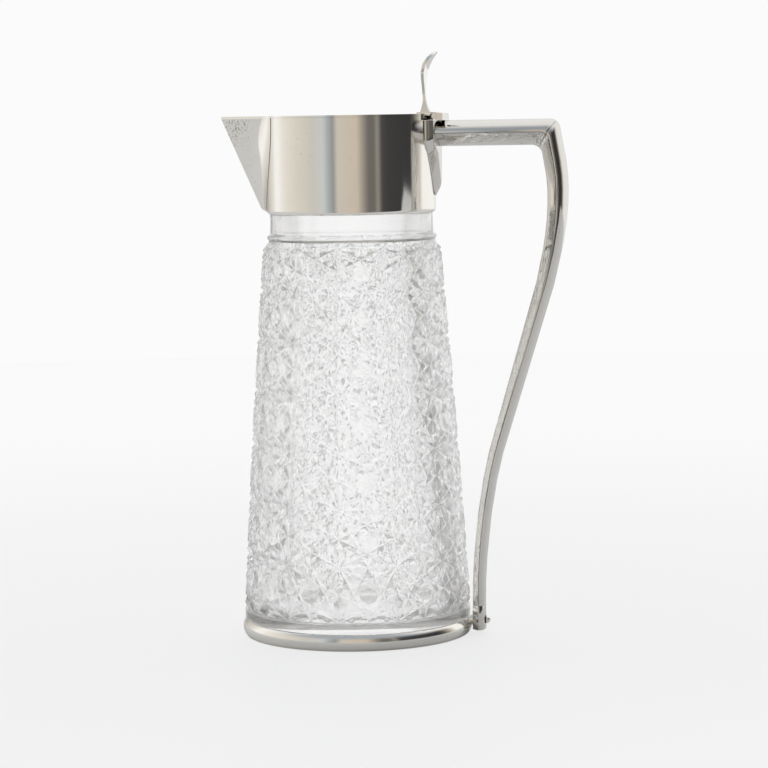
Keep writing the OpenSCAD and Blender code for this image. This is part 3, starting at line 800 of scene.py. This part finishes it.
class CLARET_OT_handle(bpy.types.Operator):
    """Polishes the hollow handle and its foot"""

    bl_idname = "claret.handle"
    bl_label = "Handle"

    def drop(self, finish):
        """The shield-shaped plate on the collar, bevelled to a thin edge below the bar."""
        low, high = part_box("handle_drop")
        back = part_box("collar")[1].x + DROP_BACK_GAP
        thick = high.x - back - DROP_FACE_GAP
        tip = Vector((0.0, low.z + DROP_TIP_RADIUS))
        corner = Vector((DROP_HALF, high.z - DROP_SIDE))
        reach = corner - tip
        start = math.atan2(reach.y, reach.x) - math.acos(DROP_TIP_RADIUS / reach.length)
        right = [(DROP_HALF, high.z), tuple(corner)]
        for k in range(DROP_TIP_STEPS + 1):
            turn = start + (-math.pi / 2 - start) * k / DROP_TIP_STEPS
            right.append((
                DROP_TIP_RADIUS * math.cos(turn), tip.y + DROP_TIP_RADIUS * math.sin(turn)
            ))
        left = [(-y, z) for y, z in reversed(right[:-1])]
        bar_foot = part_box("handle_bar_under_shell")[0].z
        bm = bmesh.new()
        bm.faces.new([bm.verts.new((0.0, y, z)) for y, z in right + left])
        heights = (math.floor(low.z / MM), math.floor(high.z / MM))
        for axis, (first, last) in ((1, DROP_GRID), (2, heights)):
            for k in range(first, last + 1):
                place, way = Vector((0, 0, 0)), Vector((0, 0, 0))
                place[axis], way[axis] = k * MM, 1.0
                bmesh.ops.bisect_plane(
                    bm, geom=everything(bm), dist=GRID_SPLIT, plane_co=place, plane_no=way
                )
        made = bmesh.ops.extrude_face_region(bm, geom=bm.faces[:])
        front = set(only(made, bmesh.types.BMVert))
        out = Vector((math.cos(start), math.sin(start)))
        for vert in bm.verts:
            y, z = abs(vert.co.y), vert.co.z
            radius = back
            if vert in front:
                off = Vector((y, z)) - tip
                at_tip = math.atan2(off.y, off.x) < start
                inside = DROP_TIP_RADIUS - (off.length if at_tip else off.dot(out))
                high_up = clamp((z - bar_foot + DROP_BEVEL_RUN) / DROP_BEVEL_RUN)
                bevel = DROP_BEVEL - DROP_BEVEL_LESS * high_up
                share = clamp(min(inside, DROP_HALF - y) / bevel)
                radius += DROP_EDGE + (thick - DROP_EDGE) * share
            vert.co.x = math.sqrt(radius**2 - y**2)
        bmesh.ops.recalc_face_normals(bm, faces=bm.faces)
        keep(bm, "drop_plate", finish, "jug", "handle_drop", 35.0)

    def execute(self, context):
        # the handle's silver is painted darker than the rest, as painted shade
        sheet = silver_finish("Handle silver with painted shade", tarnish=0.8, shade=0.8)
        screw = silver_finish("Screw silver", dull=0.03, tarnish=0.9)
        self.drop(sheet)
        for node in (
            "handle_bar_top_shell", "handle_bar_under_shell", "handle_grip_outer_shell",
            "handle_grip_inner_shell", "handle_foot_block"
        ):
            polished(node, sheet, edge=SEAM_ROUND)
        polished("foot_screw", screw)
        polished("foot_washer", washer_finish("Dark washer"))
        return {"FINISHED"}


# ------------------------------------------------------------------ stage


FLOOR_RADIUS = 1.6
FLOOR_SEGMENTS = 96
FLOOR_ROUGH = 0.55
FLOOR_FRONT = 0.36  # how far the floor reaches from the axis towards the camera
FLOOR_CLEAR = 0.2 * MM  # how far it lies under the jug
FLOOR_FADE = (0.12, 0.9)  # the distances from the axis between which the floor turns white
FLOOR_WHITE_NEAR, FLOOR_WHITE_MORE = 0.76, 0.19  # its share of white near, and what is added far
FLOOR_WHITE_THROUGH = 0.85  # the least share of white that glass shows

ROOM_WHITE = tone(252, 252, 250)
# The room's colours round the jug, by degrees from the camera's side towards the handle.
ROOM_TONES = (
    (-180, ROOM_WHITE), (-162, ROOM_WHITE), (-150, tone(176, 172, 166)),
    (-138, tone(206, 201, 194)), (-122, tone(232, 229, 224)), (-114, ROOM_WHITE),
    (-106, ROOM_WHITE), (-96, tone(240, 237, 231)), (-88, tone(233, 229, 221)),
    (-69, tone(221, 217, 208)), (-43, tone(206, 203, 196)), (-28, tone(204, 208, 210)),
    (-21, tone(172, 180, 184)), (-14, tone(150, 152, 152)), (-8, tone(207, 200, 190)),
    (18, tone(204, 193, 178)), (26, tone(158, 152, 142)), (33, tone(114, 111, 107)),
    (41, tone(110, 107, 103)), (46, tone(148, 146, 137)), (52, tone(76, 74, 75)),
    (61, tone(64, 64, 65)), (98, tone(57, 57, 58)), (105, tone(90, 89, 84)),
    (115, tone(180, 174, 163)), (125, ROOM_WHITE), (180, ROOM_WHITE),
)
# The ceiling, by the parts of a direction: it starts and is full at these heights, and turns
# from grey on the camera's side to white behind between these depths.
CEILING_GREY = tone(168, 175, 182)
CEILING_HEIGHT = (0.35, 0.75)
CEILING_DEPTH = (-0.45, 0.35)
# What shows through glass: white, apart from a dark side at the right and one at the left, in
# degrees as above, which end between these heights.
THROUGH_WHITE = 0.93
THROUGH_LESS = 0.85  # how much of the white a dark side takes away
RIGHT_DARK = (52, 58, 98, 104)
LEFT_DARK = (-152, -149, -141, -138)
LEFT_SHARE = 0.6  # how dark the left side is, against the right
DARK_HEIGHT = (0.35, 0.5)

SENSOR = 36.0
IMAGE = 768
HORIZON_ROW = 114  # the image's row at the camera's height
AXIS_COLUMN = 354.1  # the image's column of the jug's axis
CAMERA_ROLL = math.radians(0.9)


class CLARET_OT_stage(bpy.types.Operator):
    """Sets the floor, the soft light round it and the camera"""

    bl_idname = "claret.stage"
    bl_label = "Stage"

    def floor(self):
        """A disc, cut off in front, that turns white away from the jug."""
        c = colours()
        s = sizes()
        bm = bmesh.new()
        bmesh.ops.create_circle(
            bm, cap_ends=True, segments=FLOOR_SEGMENTS, radius=FLOOR_RADIUS
        )
        near = Vector((math.sin(s.camera_turn), -math.cos(s.camera_turn), 0.0))
        bmesh.ops.bisect_plane(
            bm, geom=everything(bm), dist=GRID_SPLIT, plane_co=near * FLOOR_FRONT, plane_no=near,
            clear_outer=True
        )
        mesh = bpy.data.meshes.new("floor")
        bm.to_mesh(mesh)
        bm.free()
        f = Finish("Pale floor")
        _, x, y, _ = f.place()
        matt = f.node(
            "ShaderNodeBsdfPrincipled", None, Base_Color=tuple(c.floor), Roughness=FLOOR_ROUGH
        )
        glow = f.node("ShaderNodeEmission", None, tuple(c.backdrop), 1.0)
        away = (x * x + y * y) ** 0.5
        through = f.rays("Is Transmission Ray")
        seen = f.rays("Is Camera Ray").most(through)
        white = away.between(*FLOOR_FADE) * FLOOR_WHITE_MORE + FLOOR_WHITE_NEAR
        share = (white * seen).most(through * FLOOR_WHITE_THROUGH)
        both = f.node("ShaderNodeMixShader", None, share, matt.outputs[0], glow.outputs[0])
        mesh.materials.append(f.surface(both.outputs[0]))
        floor = new_object("floor", mesh)
        floor.location.z = -FLOOR_CLEAR

    def room(self):
        """The soft room, as a world: white behind, grey in front and dark on the handle's side."""
        c = colours()
        f = Finish("Studio room", world=True)
        x, y, z = f.parts(f.node("ShaderNodeTexCoord").outputs["Generated"])
        turn = x.turn_from(-y) / (2 * math.pi) + 0.5
        stops = [(a / 360 + 0.5, colour) for a, colour in ROOM_TONES]
        ramp = f.node("ShaderNodeValToRGB", {"stops": stops}, turn)
        above = f.mix(y.between(*CEILING_DEPTH), CEILING_GREY, WHITE)
        light = f.mix(z.between(*CEILING_HEIGHT), ramp.outputs[0], above)
        degrees = (turn - 0.5) * 360.0
        sides = degrees.within(*RIGHT_DARK) + degrees.within(*LEFT_DARK) * LEFT_SHARE
        dark = sides * (1.0 - abs(z).between(*DARK_HEIGHT))
        share = f.rays("Is Transmission Ray") * (THROUGH_WHITE - dark * THROUGH_LESS)
        through = f.mix(share, light, tuple(c.backdrop))
        seen = f.mix(f.rays("Is Camera Ray"), through, tuple(c.backdrop))
        glow = f.node("ShaderNodeBackground", None, seen, 1.0)
        f.node("ShaderNodeOutputWorld", None, glow.outputs[0])
        bpy.context.scene.world = f.made

    def camera(self):
        """The camera, aimed for a picture that is a square of IMAGE pixels."""
        s = sizes()
        lens = s.lens / SENSOR
        data = bpy.data.cameras.new("camera")
        data.lens = s.lens
        data.sensor_width = SENSOR
        data.clip_end = 50.0
        camera = new_object("camera", data)
        bpy.context.scene.camera = camera
        pitch = math.atan((IMAGE / 2 - HORIZON_ROW) / IMAGE / lens)
        heading = s.camera_turn - math.atan((IMAGE / 2 - AXIS_COLUMN) / IMAGE / lens)
        forward = Vector((
            -math.sin(heading) * math.cos(pitch), math.cos(heading) * math.cos(pitch),
            -math.sin(pitch)
        ))
        right = Vector((math.cos(heading), math.sin(heading), 0.0))
        up = right.cross(forward)
        across = right * math.cos(CAMERA_ROLL) - up * math.sin(CAMERA_ROLL)
        upward = right * math.sin(CAMERA_ROLL) + up * math.cos(CAMERA_ROLL)
        x = s.camera_distance * math.sin(s.camera_turn)
        y = -s.camera_distance * math.cos(s.camera_turn)
        camera.matrix_world = Matrix((
            (across.x, upward.x, -forward.x, x),
            (across.y, upward.y, -forward.y, y),
            (across.z, upward.z, -forward.z, s.camera_height),
            (0, 0, 0, 1),
        ))

    def execute(self, context):
        context.scene.view_settings.view_transform = "Standard"
        self.floor()
        self.room()
        self.camera()
        return {"FINISHED"}


# ------------------------------------------------------------------ panel


OPERATORS = (CLARET_OT_stage, CLARET_OT_glass, CLARET_OT_mounts, CLARET_OT_hinge, CLARET_OT_handle)


class CLARET_PT_panel(bpy.types.Panel):
    """Lists the jug's sizes, colours and makers"""

    bl_idname = "CLARET_PT_panel"
    bl_label = "Claret jug"
    bl_space_type = "VIEW_3D"
    bl_region_type = "UI"
    bl_category = "Jug"

    def draw(self, context):
        layout = self.layout
        for group in (context.scene.jug_sizes, context.scene.jug_colours):
            box = layout.box()
            for name in group.__annotations__:
                box.prop(group, name)
        for operator in OPERATORS:
            layout.operator(operator.bl_idname)


CLASSES = (JugSizes, JugColours, *OPERATORS, CLARET_PT_panel)


def register():
    for each in CLASSES:
        bpy.utils.register_class(each)
    bpy.types.Scene.jug_sizes = bpy.props.PointerProperty(type=JugSizes)
    bpy.types.Scene.jug_colours = bpy.props.PointerProperty(type=JugColours)


def unregister():
    del bpy.types.Scene.jug_colours
    del bpy.types.Scene.jug_sizes
    for each in reversed(CLASSES):
        bpy.utils.unregister_class(each)


def main():
    register()
    bpy.ops.claret.stage()
    bpy.ops.claret.glass()
    bpy.ops.claret.mounts()
    bpy.ops.claret.hinge()
    bpy.ops.claret.handle()


if __name__ == "__main__":
    main()
